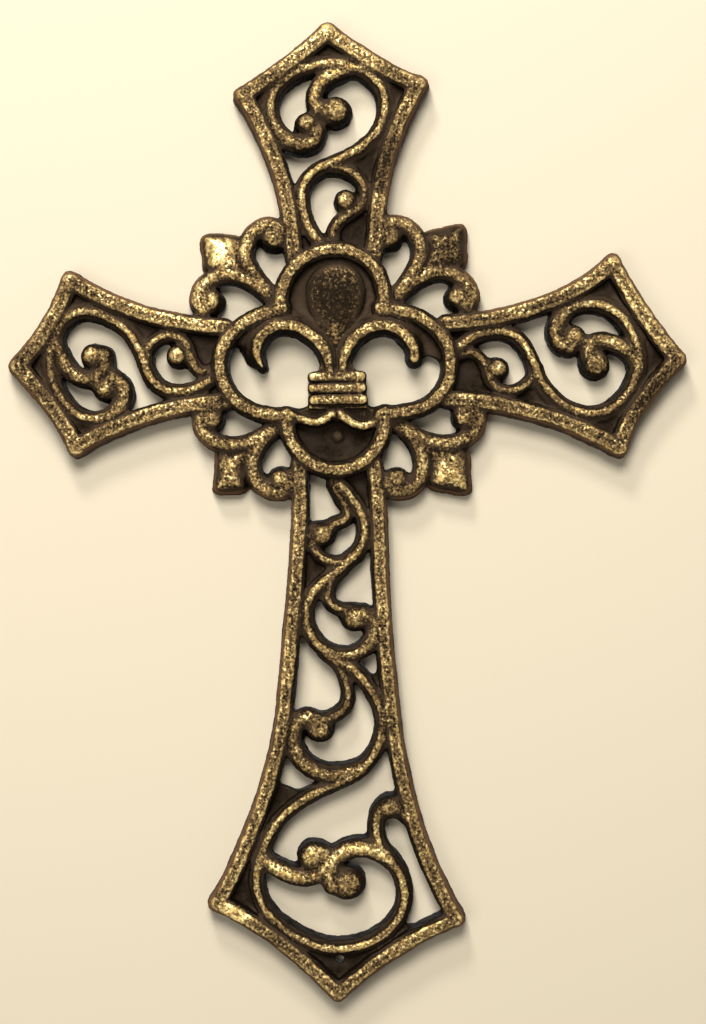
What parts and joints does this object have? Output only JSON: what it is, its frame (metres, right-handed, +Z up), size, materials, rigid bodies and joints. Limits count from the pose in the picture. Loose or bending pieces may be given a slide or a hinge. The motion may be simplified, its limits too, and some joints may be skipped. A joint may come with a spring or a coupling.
{
  "type": "cast iron wall cross",
  "caption": "Openwork cast iron wall cross with flared scrolled arms, a four-lobed ring round a fleur-de-lis and curled corner leaves.",
  "frame": {"origin": "middle of the crossing on the flat back, which rests against the wall", "axes": "+Z up along the long arm, +Y into the wall, the raised face looks along -Y"},
  "size_m": [0.1833, 0.011, 0.2636],
  "materials": {
    "casting": "sand-cast black-brown coat, raised lines dry-brushed with brassy gold"
  },
  "bodies": {
    "root": {"cross": "casting"}
  },
  "joints": []
}
